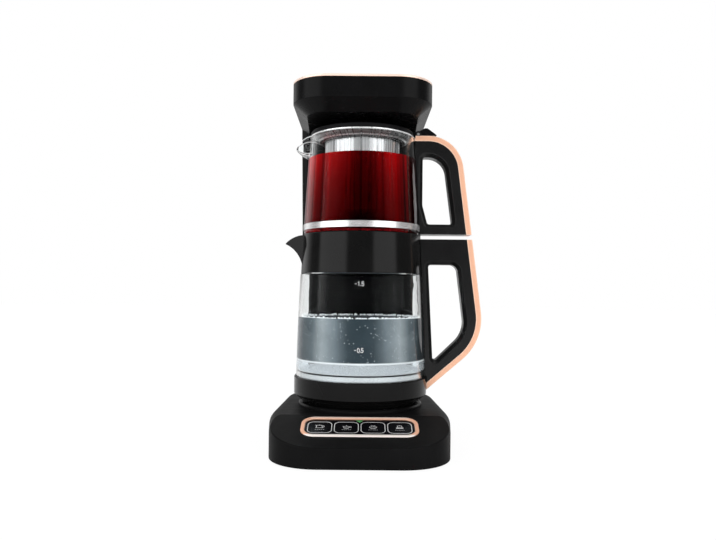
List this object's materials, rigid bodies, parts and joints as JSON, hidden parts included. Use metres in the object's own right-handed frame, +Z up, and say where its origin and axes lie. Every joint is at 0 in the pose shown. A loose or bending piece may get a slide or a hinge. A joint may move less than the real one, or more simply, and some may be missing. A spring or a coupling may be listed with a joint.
{
  "type": "automatic tea maker",
  "caption": "Automatic tea maker: glass kettle on a push-button base, glass teapot with infuser on top, and a rear column with an overhanging brew head.",
  "frame": {"origin": "centre of the assembly's bounding box at floor level, under the feet", "axes": "+Z up, -Y towards the user and the control panel, +X towards the handles"},
  "size_m": [0.2336, 0.246, 0.394],
  "materials": {
    "housing_black": "fine matte spark-eroded texture",
    "satin_black": "satin",
    "gloss_black": "polished",
    "rose_gold": "metallised rose gold, satin",
    "pot_black": "satin",
    "glass": "clear borosilicate",
    "steel": "brushed",
    "screw_steel": "zinc plated",
    "aluminium": "die cast",
    "rubber": "matt",
    "silicone": "translucent",
    "circuit_board": "solder mask",
    "lens": "translucent green",
    "pump_plastic": "moulded"
  },
  "bodies": {
    "housing": {"base_housing": "housing_black", "base_floor_plate": "pump_plastic", "rubber_feet": "rubber", "base_screws": "screw_steel", "cord_gland": "rubber", "panel_bezel": "rose_gold", "panel_fascia": "gloss_black", "indicator_lens": "lens", "control_board": "circuit_board", "main_board": "circuit_board", "kettle_dock": "satin_black", "power_connector": "gloss_black", "dock_water_port": "silicone", "water_pump": "pump_plastic", "inlet_hose": "silicone", "riser_hose": "silicone", "column_front_cover": "satin_black", "column_rear_cover": "satin_black", "head_housing": "satin_black", "head_top_cover": "satin_black", "head_trim_ring": "rose_gold", "brew_nozzle": "pump_plastic", "button_dome_1": "rubber", "button_dome_2": "rubber", "button_dome_3": "rubber", "button_dome_4": "rubber"},
    "button_1": {"button_1": "gloss_black"},
    "button_2": {"button_2": "gloss_black"},
    "button_3": {"button_3": "gloss_black"},
    "button_4": {"button_4": "gloss_black"},
    "kettle": {"kettle_base_ring": "pot_black", "kettle_coupler": "gloss_black", "kettle_valve": "silicone", "kettle_glass": "glass", "kettle_collar": "pot_black", "kettle_handle": "pot_black", "kettle_handle_strip": "rose_gold", "kettle_handle_screws": "screw_steel", "thermostat": "gloss_black", "heater_plate": "steel", "heat_spreader": "aluminium", "heating_element": "steel", "glass_seal": "silicone"},
    "teapot": {"teapot_glass": "glass", "teapot_band": "steel", "teapot_handle": "pot_black", "teapot_handle_strip": "rose_gold", "infuser_basket": "steel", "lid_hinge_pin": "screw_steel"},
    "lid": {"teapot_lid": "gloss_black", "lid_lever": "gloss_black"}
  },
  "joints": [
    {"name": "button_1_press", "type": "slide", "parent": "housing", "child": "button_1", "axis": [0, 0.2807, -0.9598], "range_m": [0, 0.0008], "stiffness_N_per_m": 700, "springref_m": -0.0003, "deforming": ["button_dome_1"]},
    {"name": "button_2_press", "type": "slide", "parent": "housing", "child": "button_2", "axis": [0, 0.2807, -0.9598], "range_m": [0, 0.0008], "stiffness_N_per_m": 700, "springref_m": -0.0003, "deforming": ["button_dome_2"]},
    {"name": "button_3_press", "type": "slide", "parent": "housing", "child": "button_3", "axis": [0, 0.2807, -0.9598], "range_m": [0, 0.0008], "stiffness_N_per_m": 700, "springref_m": -0.0003, "deforming": ["button_dome_3"]},
    {"name": "button_4_press", "type": "slide", "parent": "housing", "child": "button_4", "axis": [0, 0.2807, -0.9598], "range_m": [0, 0.0008], "stiffness_N_per_m": 700, "springref_m": -0.0003, "deforming": ["button_dome_4"]},
    {"name": "kettle_lift", "type": "slide", "parent": "housing", "child": "kettle", "axis": [0, 0, 1], "range_m": [0, 0.0065]},
    {"name": "teapot_pull", "type": "slide", "parent": "kettle", "child": "teapot", "axis": [0, -1, 0], "range_m": [0, 0.25]},
    {"name": "lid_hinge", "type": "hinge", "parent": "teapot", "child": "lid", "pos_m": [0.04362, 0.017, 0.3484], "axis": [0, 1, 0], "range_deg": [0, 3.3]}
  ]
}
